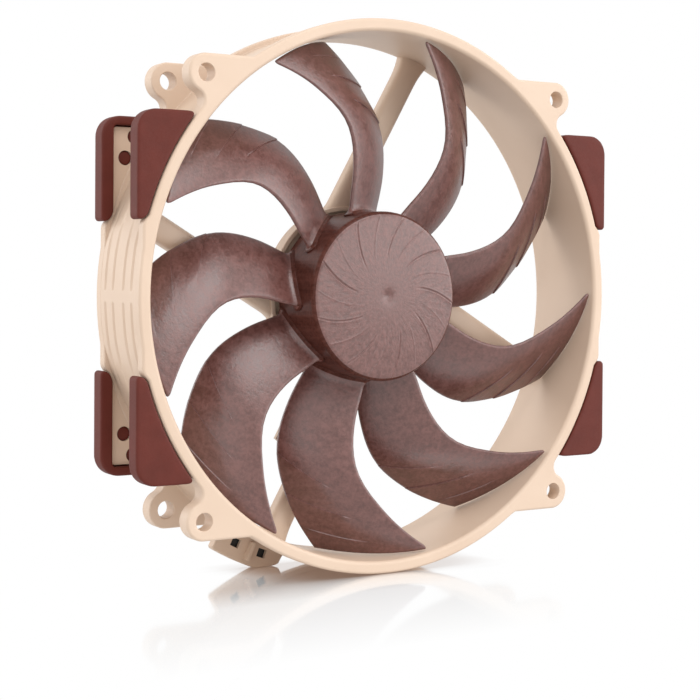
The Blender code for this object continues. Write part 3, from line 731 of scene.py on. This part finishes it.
def lead_channel():
    """The floor beside the lower strut, where the lead lies on its way out."""
    turn = math.radians(STRUT_ANGLE + 180.0)
    along = (math.cos(turn), math.sin(turn))
    across = (-math.sin(turn), math.cos(turn))
    near, far = CHANNEL_MIDDLE - CHANNEL_HALF, CHANNEL_MIDDLE + CHANNEL_HALF
    corners = [(CHANNEL_END, near), (CHANNEL_END + 2.0, far)]
    corners += [(math.sqrt(CHANNEL_ROOT_R ** 2 - shift ** 2), shift)
                for shift in (far, CHANNEL_MIDDLE, near)]
    outline = [(along[0] * out + across[0] * shift, along[1] * out + across[1] * shift)
               for out, shift in corners]
    return slab("lead_channel", outline, HALF - 1.6, HALF - 0.2, 0.3)


def motor_base():
    """The round base, whose rim stays a hair below the struts so that their faces don't meet."""
    inner = BASE_R - 1.3
    rear = HALF - 0.05
    profile = [(0.0, 11.2), (5.0, 11.2), (5.3, 10.9), (5.3, -0.7), (5.5, -1.0), (6.1, -1.0),
               (6.3, -0.8), (6.3, 8.8), (6.7, 9.2), (inner - 0.4, 9.2), (inner, 8.9),
               (inner, 8.4), (inner + 0.12, 8.26), (inner + 0.35, 8.2), (BASE_R - 0.35, 8.2),
               (BASE_R - 0.1, 8.3), (BASE_R, 8.55), (BASE_R, rear - 0.45),
               (BASE_R - 0.13, rear - 0.13), (BASE_R - 0.45, rear), (20.95, rear),
               (20.75, rear - 0.1), (20.7, HALF - 0.5), (0.0, HALF - 0.5)]
    return lathe("motor_base", profile, 144)


def build_frame(surface):
    ring = ring_body()
    drills = [drill(HOLE_AT * side_x, HOLE_AT * side_z) for _, side_x, side_z in CORNERS]
    combine(ring, joined("drills", drills), "DIFFERENCE")
    combine(ring, guide_pocket(), "DIFFERENCE")
    windows = [polar_block("window", WINDOW_R, angle, WINDOW_HALF, HALF - FLANGE - 1.0,
                           GUIDE_POCKET_FRONT + 0.5) for angle in WINDOW_ANGLES]
    combine(ring, joined("windows", windows), "DIFFERENCE")
    rib = polar_block("guide_rib", GUIDE_RIB_R, GUIDE_RIB_ANGLE, 0.5, GUIDE_RIB_FRONT,
                      HALF - FLANGE + 0.5)
    parts = [ring, rib, band(0.0), band(180.0), wings(), motor_base(), lead_channel()]
    parts += [strut(number) for number in range(4)]
    whole = shade(joined("frame_shell", parts), surface)
    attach(whole, "housing")
    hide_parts("frame")


# ---------------------------------------------------------------- pads

def pad_outline():
    low, high = PAD_Z
    inner = RING_R + 0.3
    corner = (PAD_X - PAD_CORNER_R, high - PAD_CORNER_R)
    top_x = math.sqrt(inner ** 2 - high ** 2)
    low_x = math.sqrt(inner ** 2 - low ** 2)
    start, end = angle_of(top_x, high) - 1.5, angle_of(low_x, low) + 1.8
    outline = arc((PAD_X - PAD_HEEL_R, low + PAD_HEEL_R), PAD_HEEL_R, -90.0, 0.0, 4)
    outline += arc(corner, PAD_CORNER_R, 0.0, 90.0, 12)
    outline.append((top_x + 2.6, high))
    outline += bend((top_x + 2.6, high), (top_x, high), polar(start, inner), 5)
    outline += [polar(start + (end - start) * step / 12, inner) for step in range(1, 13)]
    outline += bend(polar(end, inner), (low_x, low), (low_x + 2.0, low), 4)[:-1]
    return outline


def pad_room():
    """The room inside the pad's lip, where the wing lies, open towards the ring."""
    low = PAD_Z[0] - 1.0
    inside = HOLE_AT - LUG_R
    side, top = WING_X + 0.3, WING_TOP_Z + 0.3
    outline = [(inside, low), (side, low)]
    outline += arc((side - WING_CORNER_R, top - WING_CORNER_R), WING_CORNER_R, 0.0, 90.0, 5)
    outline.append((inside, top))
    return outline


def build_pads(surface):
    """One rear pad is made in the +X +Z corner and carried to the other seven places."""
    sheet = WING_FACE + WING_THICK + 0.3
    pad = slab("pad", pad_outline(), PAD_LIP_FACE, HALF, PAD_EDGE, 4)
    room = slab("room", pad_room(), PAD_LIP_FACE - 1.0, sheet, 0.02, 1)
    combine(pad, room, "DIFFERENCE")
    for x, z in STUD_AT:
        ring = arc((x, z), STUD_R, 0.0, 345.0, 23)
        combine(pad, slab("stud", ring, PAD_STUD_END, sheet + 0.4, 0.2), "UNION")
    soft = pad.modifiers.new("soft", "REMESH")
    soft.mode = "VOXEL"
    soft.voxel_size = PAD_VOXEL * MM
    ease = pad.modifiers.new("ease", "SMOOTH")
    ease.factor = 0.5
    ease.iterations = PAD_SMOOTHING
    bake_modifiers(pad)
    for face_name, face in (("front_", -1), ("rear_", 1)):
        for name, side_x, side_z in CORNERS:
            copy = flipped_copy(pad, "soft_pad_" + face_name + name, (side_x, face, side_z))
            copy.data.materials.append(surface)
            copy.data.shade_smooth()
            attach(copy, "housing")
            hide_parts("pad_" + face_name + name)
    bpy.data.objects.remove(pad, do_unlink=True)


# ---------------------------------------------------------------- impeller

def hub_line_height(offset, radius, line):
    """How far the hub's face rises at an offset in millimetres from a swept line."""
    start, end = HUB_LINE_R
    fade = smooth((radius - start) / 5.0) * smooth((end - radius) / 0.8)
    fade *= 0.75 + 0.25 * math.sin(2.4 * line)
    if line % 2 == 0:
        return fade * (0.06 * math.exp(-(abs(offset) - 0.42) ** 2 / 0.02)
                       - 0.19 * math.exp(-offset ** 2 / 0.035))
    return fade * 0.07 * math.exp(-offset ** 2 / 0.05)


def hub():
    """The hub's face, fillet, side and inside on a grid that is swept along its fine lines."""
    offsets = (-0.8, -0.55, -0.42, -0.3, -0.18, -0.08, 0.0, 0.08, 0.18, 0.3, 0.42, 0.55, 0.8)
    flat_end = HUB_R - HUB_FILLET
    face = [0.4, 0.8, 1.1, 1.35, 1.6, 1.9, 2.4, 3.2, 4.4, 6.0, 7.4, 8.2]
    face += [8.2 + (flat_end - 8.2) * step / 22 for step in range(1, 23)]
    profile = [(radius, None) for radius in face]
    for step in range(1, 7):
        angle = math.radians(15.0 * step)
        profile.append((flat_end + HUB_FILLET * math.sin(angle),
                        HUB_EDGE_FRONT + HUB_FILLET * (1 - math.cos(angle))))
    inner = HUB_R - HUB_WALL
    profile += [(HUB_R, -4.0), (HUB_R, 0.0), (HUB_R, 4.0), (HUB_R, HUB_REAR - 0.3),
                (HUB_R - 0.1, HUB_REAR - 0.08), (HUB_R - 0.3, HUB_REAR),
                (inner + 0.2, HUB_REAR), (inner, HUB_REAR - 0.2), (inner, -7.9),
                (inner - 0.2, -8.1), (5.8, -8.1), (5.6, -7.9), (5.6, -5.5), (5.5, -5.4),
                (3.9, -5.4), (3.8, -5.5), (3.8, -8.4)]
    points, rings, faces = [], [], []
    for radius, y in profile:
        ring = []
        across = max(radius, 8.2)
        sweep = HUB_LINE_SWEEP * (21.2 - min(max(radius, 4.0), 21.2))
        for line in range(HUB_LINES):
            base = HUB_LINE_ANGLE + 360.0 / HUB_LINES * line + sweep
            places = [(offset, math.degrees(offset / across)) for offset in offsets]
            edge = places[-1][1]
            room = 360.0 / HUB_LINES - 2 * edge
            places += [(OFF_THE_LINES, edge + room * step / 4) for step in (1, 2, 3)]
            for offset, turn in places:
                here = y
                if here is None:
                    here = HUB_CENTRE_FRONT
                    here += (HUB_EDGE_FRONT - HUB_CENTRE_FRONT) * (radius / flat_end) ** 2
                    here += DIMPLE_DEPTH * math.exp(-(radius / DIMPLE_R) ** 2)
                    here -= hub_line_height(offset, radius, line)
                elif radius > flat_end and here < -8.0:
                    here -= hub_line_height(offset, radius, line)
                x, z = polar(base + turn, radius)
                ring.append(len(points))
                points.append((x, here, z))
        rings.append(ring)
    count = len(rings[0])
    for lower, upper in zip(rings, rings[1:]):
        for step in range(count):
            after = (step + 1) % count
            faces.append((lower[step], lower[after], upper[after], upper[step]))
    points += [(0.0, HUB_CENTRE_FRONT + DIMPLE_DEPTH, 0.0), (0.0, -8.4, 0.0)]
    for ring, centre in ((rings[0], len(points) - 2), (rings[-1], len(points) - 1)):
        for step in range(count):
            faces.append((ring[step], ring[(step + 1) % count], centre))
    return object_from("hub", points, faces)


def station_value(share, column):
    """A smooth value between the blade stations, by Catmull-Rom interpolation."""
    last = len(BLADE_STATIONS) - 1
    at = min(max(share, 0.0), 1.0) * last
    base = min(int(at), last - 1)
    t = at - base
    values = [row[column] for row in BLADE_STATIONS]
    before = values[base - 1] if base > 0 else 2 * values[0] - values[1]
    after = values[base + 2] if base + 2 <= last else 2 * values[last] - values[last - 1]
    here, there = values[base], values[base + 1]
    rise_here, rise_there = (there - before) / 2, (after - here) / 2
    return (here * (2 * t ** 3 - 3 * t ** 2 + 1) + rise_here * (t ** 3 - 2 * t ** 2 + t)
            + there * (3 * t ** 2 - 2 * t ** 3) + rise_there * (t ** 3 - t ** 2))


def blade_point(share, chord, shrink=0.0):
    """The blade's middle surface; share 0 is the root, chord 0 the leading edge."""
    lead, trail = station_value(share, 1), station_value(share, 2)
    angle = math.radians(lead * (1 - chord) + trail * chord)
    low, high = station_value(share, 3), station_value(share, 4)
    bow = chord - BLADE_CAMBER * chord * (1 - chord)
    radius = HUB_R + (TIP_R - HUB_R) * share - shrink
    return Vector((radius * math.cos(angle), low + (high - low) * bow,
                   radius * math.sin(angle)))


def step_share(mark, chord):
    """The span fraction where one of the blade's steps runs, at a chord fraction."""
    start_s, start_c, end_s, end_c, _ = mark
    return start_s + (end_s - start_s) * (chord - start_c) / (end_c - start_c)


def span_rows(chord):
    """Span fractions of the grid's rows at a chord fraction, dense along each step."""
    length = TIP_R - HUB_R
    rows = [0.0, 0.3 / length, 0.7 / length, 1.2 / length, 1.8 / length, 2.6 / length]
    start = rows[-1]
    for mark, steps in zip(BLADE_STEPS, (12, 5, 4)):
        middle = step_share(mark, chord)
        near = middle - 0.6 / length
        rows += [start + (near - start) * step / steps for step in range(1, steps)]
        rows += [middle + offset / length for offset in
                 (-0.6, -0.36, -0.22, -0.1, 0.0, 0.1, 0.22, 0.36, 0.6)]
        start = rows[-1]
    end = 1.0 - 1.5 / length
    rows += [start + (end - start) * step / 2 for step in (1, 2)]
    rows += [1.0 - left / length for left in (1.1, 0.75, 0.45, 0.2, 0.06, 0.0)]
    return rows


def step_height(share, chord):
    """How far the blade's front stands up behind its steps, sharp hubwards, fading tipwards."""
    total = 0.0
    for mark in BLADE_STEPS:
        _, start_c, _, end_c, height = mark
        offset = (share - step_share(mark, chord)) * (TIP_R - HUB_R)
        fade = smooth((chord - end_c) / 0.12) * smooth((start_c + 0.06 - chord) / 0.06)
        total += height * fade * smooth(offset / 0.26 + 0.5) * max(0.0, 1 - offset / STEP_RUN)
    return total


def tip_setback(share):
    """How far the leading edge draws back from its line where the tip's corner is round."""
    inside = TIP_CORNER_R - (1 - share) * (TIP_R - HUB_R)
    if inside <= 0:
        return 0.0
    return TIP_CORNER_R - math.sqrt(max(0.0, TIP_CORNER_R ** 2 - inside ** 2))


def chord_stops(length, setback=0.0):
    """Chord fractions of the grid's columns, dense at both edges."""
    near = [0.0, 0.05, 0.16, 0.34, 0.6, 1.0]
    stops = [value / length for value in near]
    inner = 20
    stops += [near[-1] / length + (1 - 2 * near[-1] / length) * step / inner
              for step in range(1, inner)]
    stops += [1 - value / length for value in reversed(near)]
    start = setback / length
    return [start + (1 - start) * stop for stop in stops]


def edge_thickness(distance, reach):
    """From 0 at the edge to 1 at reach, as a quarter of an ellipse."""
    if distance >= reach:
        return 1.0
    return math.sqrt(max(0.0, 1 - (1 - distance / reach) ** 2))


def blade(turn):
    """One blade with round edges, fine steps and a fillet where it leaves the hub."""
    length = TIP_R - HUB_R
    columns = len(chord_stops(25.0))
    row_count = len(span_rows(0.5)) + 1
    front, rear = [], []
    for row in range(row_count):
        for column in range(columns):
            guess = column / (columns - 1)
            share = span_rows(guess)[row - 1] if row else 0.0
            start, end = blade_point(share, 0.0), blade_point(share, 1.0)
            chord_length = (end - start).length
            setback = tip_setback(share)
            chord = chord_stops(chord_length, setback)[column]
            share = span_rows(chord)[row - 1] if row else 0.0
            sink = 0.0 if row else 0.8
            here = blade_point(share, chord, sink)
            step = 0.01
            along = (blade_point(min(share + step, 1.0), chord)
                     - blade_point(max(share - step, 0.0), chord))
            across = blade_point(share, chord + step) - blade_point(share, chord - step)
            normal = along.cross(across)
            outwards = Vector((here.x, 0.0, here.z)).normalized()
            normal -= outwards * normal.dot(outwards)
            normal.normalize()
            if normal.y > 0:
                normal = -normal
            distance = share * length
            thick = BLADE_THICK[0] + (BLADE_THICK[1] - BLADE_THICK[0]) * share
            thick *= 0.72 + 0.28 * math.sqrt(max(0.0, 4 * chord * (1 - chord)))
            flare = 1.3 * max(0.0, 1 - distance / 2.6) ** 3
            edge = min(edge_thickness(chord * chord_length - setback, 0.75),
                       edge_thickness((1 - chord) * chord_length, 0.6))
            edge = min(edge, edge_thickness((1 - share) * length, 0.45) * 0.9 + 0.1)
            half = (thick / 2 + flare) * max(edge, 0.04)
            sideways = (end - start).normalized()
            lean = 0.0
            if chord < 0.5:
                lean = -flare * (1 - smooth(chord * chord_length / 1.5))
            else:
                lean = flare * (1 - smooth((1 - chord) * chord_length / 1.5))
            here = here + sideways * lean
            front.append(here + normal * (half + step_height(share, chord)))
            rear.append(here - normal * half)
    points = front + rear
    offset = len(front)
    faces = []
    for row in range(row_count - 1):
        for column in range(columns - 1):
            low = row * columns + column
            high = low + columns
            faces.append((low, low + 1, high + 1, high))
            faces.append((offset + low, offset + high, offset + high + 1, offset + low + 1))
        for column in (0, columns - 1):
            low = row * columns + column
            high = low + columns
            faces.append((low, high, offset + high, offset + low))
    for row in (0, row_count - 1):
        for column in range(columns - 1):
            low = row * columns + column
            faces.append((low, low + 1, offset + low + 1, offset + low))
    item = object_from("blade", points, faces)
    item.data.transform(Matrix.Rotation(-math.radians(turn), 4, "Y"))
    return item


def build_impeller():
    """Hub and blades, with painted shade on the round side of the hub: a darker, less glossy copy
    of the plastic there.
    """
    surface = impeller_plastic("impeller_plastic", 0.9, (0.088, 0.027, 0.020),
                               (0.154, 0.057, 0.047))
    # Painted shade: a darker, less glossy copy of the impeller plastic that stands in for the
    # shadow between the blades on the hub's side.
    side = impeller_plastic("impeller_side_painted_shade", 0.12, (0.052, 0.014, 0.009),
                            (0.094, 0.031, 0.023))
    parts = [hub()]
    parts += [blade(-360.0 / BLADES * number) for number in range(BLADES)]
    whole = joined("impeller_body", parts)
    whole.data.materials.append(surface)
    whole.data.materials.append(side)
    # Faces on the hub's round side take the darker copy, which paints the shade that falls there.
    for face in whole.data.polygons:
        x, y, z = face.center / MM
        if abs(math.hypot(x, z) - HUB_R) < PAINTED_SHADE_REACH and y > HUB_EDGE_FRONT + PAINTED_SHADE_START:
            face.material_index = 1
    whole.data.shade_smooth()
    whole.data.set_sharp_from_angle(angle=math.radians(60))
    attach(whole, "rotor")
    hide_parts("impeller")


# ---------------------------------------------------------------- CAD nodes that stay

def dress(names, surface):
    for name in names:
        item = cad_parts[name]
        item.data.materials.clear()
        item.data.materials.append(surface)


def dress_nodes():
    dress(("rotor_yoke", "stator_core"),
          metal("steel", (0.42, 0.42, 0.43), (0.56, 0.56, 0.57), (0.28, 0.45)))
    dress(("shaft",), metal("shaft_steel", (0.62, 0.62, 0.63), (0.72, 0.72, 0.73), (0.12, 0.22)))
    dress(("hub_insert", "bearing_shell"),
          metal("brass", (0.62, 0.44, 0.20), (0.78, 0.58, 0.30), (0.22, 0.38)))
    dress(("bearing_sleeve",),
          metal("bronze", (0.34, 0.21, 0.12), (0.50, 0.33, 0.20), (0.40, 0.60)))
    dress(("rotor_magnet", "centring_magnet"),
          plain("ferrite", (0.035, 0.035, 0.04), (0.07, 0.07, 0.075), (0.45, 0.65)))
    dress(("lead_grommet", "bearing_seal"),
          plain("black_rubber", (0.012, 0.012, 0.012), (0.03, 0.03, 0.03), (0.55, 0.75)))
    dress(("driver_chip", "hall_sensor"),
          plain("black_epoxy", (0.015, 0.015, 0.016), (0.035, 0.035, 0.037), (0.25, 0.4)))
    dress(("retaining_clip", "thrust_pad", "insulator_front", "insulator_rear", "capacitor_1",
           "capacitor_2"),
          plain("nylon", (0.68, 0.65, 0.55), (0.78, 0.75, 0.66), (0.35, 0.5)))
    dress(("coil_1", "coil_2", "coil_3", "coil_4"),
          metal("copper_winding", (0.50, 0.20, 0.09), (0.78, 0.36, 0.19), (0.2, 0.4),
                (0.4, 3.0, 0.4)))
    dress(("circuit_board",),
          plain("circuit_board", (0.012, 0.10, 0.045), (0.03, 0.18, 0.08), (0.2, 0.35), 0.9))
    dress(("rear_label",),
          plain("label_film", (0.13, 0.065, 0.05), (0.17, 0.085, 0.065), (0.25, 0.38), 2.0))


# ---------------------------------------------------------------- stage, light and camera

CAMERA_AT = Vector((-0.21488, -0.32887, 0.0069))
CAMERA_TURN = (-30.604, 0.735, 0.347)
CAMERA_LENS = 78.33
CAMERA_SHIFT = (0.0753, -0.0885)
FLOOR_MIRROR = (0.40, 0.26)


def build_camera():
    turn, rise, roll = (math.radians(value) for value in CAMERA_TURN)
    back = Vector((math.sin(turn) * math.cos(rise), -math.cos(turn) * math.cos(rise),
                   math.sin(rise)))
    right = (-back).cross(Vector((0.0, 0.0, 1.0))).normalized()
    up = right.cross(-back)
    right, up = (right * math.cos(roll) + up * math.sin(roll),
                 up * math.cos(roll) - right * math.sin(roll))
    lens = bpy.data.cameras.new("view")
    lens.sensor_width = 36.0
    lens.lens = CAMERA_LENS
    lens.shift_x, lens.shift_y = CAMERA_SHIFT
    lens.clip_start = 0.01
    lens.clip_end = 50.0
    camera = bpy.data.objects.new("view", lens)
    bpy.context.scene.collection.objects.link(camera)
    camera.matrix_world = Matrix((
        (right.x, up.x, back.x, CAMERA_AT.x), (right.y, up.y, back.y, CAMERA_AT.y),
        (right.z, up.z, back.z, CAMERA_AT.z), (0.0, 0.0, 0.0, 1.0)))
    bpy.context.scene.camera = camera


def softbox(name, at, size, power):
    light = bpy.data.lights.new(name, "AREA")
    light.shape = "RECTANGLE"
    light.size, light.size_y = size
    light.energy = power
    lamp = bpy.data.objects.new(name, light)
    bpy.context.scene.collection.objects.link(lamp)
    lamp.location = at
    lamp.rotation_mode = "QUATERNION"
    lamp.rotation_quaternion = (-Vector(at)).to_track_quat("-Z", "Y")
    lamp.visible_camera = False


def floor_white():
    """White glowing floor with a tight contact shadow painted into its glow from ambient occlusion,
    and a mirror image that fades near the fan.
    """
    surface = bpy.data.materials.new("floor_white")
    surface.use_nodes = True
    tree = surface.node_tree
    tree.nodes.clear()
    white = (1.0, 1.0, 1.0, 1.0)
    parts = node(tree, "ShaderNodeSeparateXYZ", {"Vector": place(tree)})
    away = node(tree, "ShaderNodeMath", {0: parts.outputs["Y"]}, operation="ABSOLUTE")
    near = spread(tree, away.outputs["Value"], FLOOR_MIRROR[0], 0.0, 10.0, 28.0)
    wide = spread(tree, away.outputs["Value"], FLOOR_MIRROR[1], 0.0, 14.0, 75.0)
    share = node(tree, "ShaderNodeMath", {0: near, 1: wide}, operation="ADD")
    # Painted shadow: the floor's glow turns dark warm brown where ambient occlusion finds the fan
    # close by.
    shade_near = node(tree, "ShaderNodeAmbientOcclusion", {"Distance": 10.0 * MM}, samples=8)
    open_share = spread(tree, shade_near.outputs["AO"], 0.0, 1.0, 0.3, 0.85)
    painted_contact_shadow = blended(tree, open_share, (0.38, 0.26, 0.20), (1.0, 1.0, 1.0))
    seen = node(tree, "ShaderNodeEmission", {"Color": painted_contact_shadow, "Strength": 1.0})
    mirror = node(tree, "ShaderNodeBsdfGlossy", {"Color": white, "Roughness": 0.08})
    mixed = node(tree, "ShaderNodeMixShader", {0: share.outputs["Value"],
                                               1: seen.outputs["Emission"],
                                               2: mirror.outputs["BSDF"]})
    node(tree, "ShaderNodeOutputMaterial", {"Surface": mixed.outputs["Shader"]})
    return surface


def build_stage():
    reach, low = 6.0, CAD_LOW.z - 0.00003
    points = [(-reach, -reach, low), (reach, -reach, low), (reach, reach, low),
              (-reach, reach, low)]
    floor = object_from("floor", [Vector(point) / MM for point in points], [(0, 1, 2, 3)])
    floor.data.materials.append(floor_white())
    world = bpy.data.worlds.new("studio")
    world.use_nodes = True
    world.node_tree.nodes["Background"].inputs["Color"].default_value = (1.0, 1.0, 1.0, 1.0)
    world.node_tree.nodes["Background"].inputs["Strength"].default_value = 1.0
    bpy.context.scene.world = world
    softbox("key", (0.45, -0.9, -0.04), (0.65, 0.8), 3.4)
    softbox("top", (0.05, -0.56, 0.83), (0.75, 0.45), 3.9)
    softbox("side", (0.92, -0.36, 0.15), (0.8, 1.0), 5.6)
    softbox("left", (-0.85, -0.6, 0.3), (0.6, 0.8), 1.2)
    softbox("edge", (-0.75, 0.65, 0.2), (0.5, 0.9), 4.5)
    bpy.context.scene.view_settings.view_transform = "Standard"


build_frame(frame_plastic())
build_pads(pad_silicone())
build_impeller()
dress_nodes()
build_stage()
build_camera()
